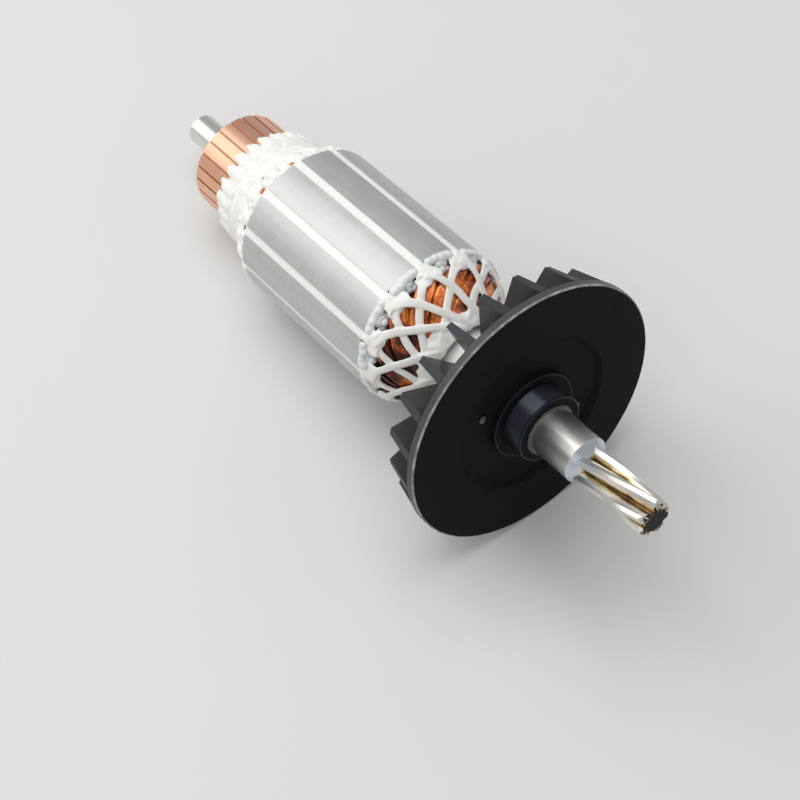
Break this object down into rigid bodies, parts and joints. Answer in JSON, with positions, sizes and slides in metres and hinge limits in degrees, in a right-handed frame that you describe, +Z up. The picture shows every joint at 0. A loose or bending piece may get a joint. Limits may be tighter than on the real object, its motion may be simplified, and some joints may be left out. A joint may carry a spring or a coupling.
{
  "type": "motor armature",
  "caption": "Wound motor armature with slotted steel core, laced end windings, copper commutator, radial cooling fan and helical pinion on one shaft, lying at rest.",
  "frame": {"origin": "on the ground under the middle of the armature's bounding box", "axes": "+X along the shaft's shadow towards the pinion, +Z up; the shaft rises towards the pinion by the rest tilt"},
  "size_m": [0.1503, 0.0584, 0.058],
  "materials": {
    "shaft_steel": "ground",
    "core_steel": "ground laminations",
    "sleeve_plastic": "moulded",
    "fibre_insulator": "varnished fibre",
    "slot_paper": "varnished",
    "wedge_fibre": "varnished fibre",
    "coil_copper": "enamelled copper wire",
    "lacing_cord": "varnished cord",
    "lead_sleeve": "varnished sleeving",
    "bar_copper": "turned copper",
    "moulding_phenolic": "moulded",
    "bush_brass": "turned",
    "fan_plastic": "satin moulded",
    "fan_bush_metal": "knurled"
  },
  "bodies": {
    "root": {"rotor_shaft": "shaft_steel", "insulating_sleeve": "sleeve_plastic", "lamination_stack": "core_steel", "drive_end_insulator": "fibre_insulator", "commutator_end_insulator": "fibre_insulator", "slot_liners": "slot_paper", "slot_wedges": "wedge_fibre", "coil_01": "coil_copper", "coil_02": "coil_copper", "coil_03": "coil_copper", "coil_04": "coil_copper", "coil_05": "coil_copper", "coil_06": "coil_copper", "coil_07": "coil_copper", "coil_08": "coil_copper", "coil_09": "coil_copper", "coil_10": "coil_copper", "coil_11": "coil_copper", "coil_12": "coil_copper", "drive_end_lacing": "lacing_cord", "coil_leads": "lead_sleeve", "commutator_end_lacing": "lacing_cord", "commutator_bar_01": "bar_copper", "commutator_bar_02": "bar_copper", "commutator_bar_03": "bar_copper", "commutator_bar_04": "bar_copper", "commutator_bar_05": "bar_copper", "commutator_bar_06": "bar_copper", "commutator_bar_07": "bar_copper", "commutator_bar_08": "bar_copper", "commutator_bar_09": "bar_copper", "commutator_bar_10": "bar_copper", "commutator_bar_11": "bar_copper", "commutator_bar_12": "bar_copper", "commutator_bar_13": "bar_copper", "commutator_bar_14": "bar_copper", "commutator_bar_15": "bar_copper", "commutator_bar_16": "bar_copper", "commutator_bar_17": "bar_copper", "commutator_bar_18": "bar_copper", "commutator_bar_19": "bar_copper", "commutator_bar_20": "bar_copper", "commutator_bar_21": "bar_copper", "commutator_bar_22": "bar_copper", "commutator_bar_23": "bar_copper", "commutator_bar_24": "bar_copper", "commutator_moulding": "moulding_phenolic", "commutator_bush": "bush_brass", "cooling_fan": "fan_plastic", "fan_bush": "fan_bush_metal"}
  },
  "joints": []
}
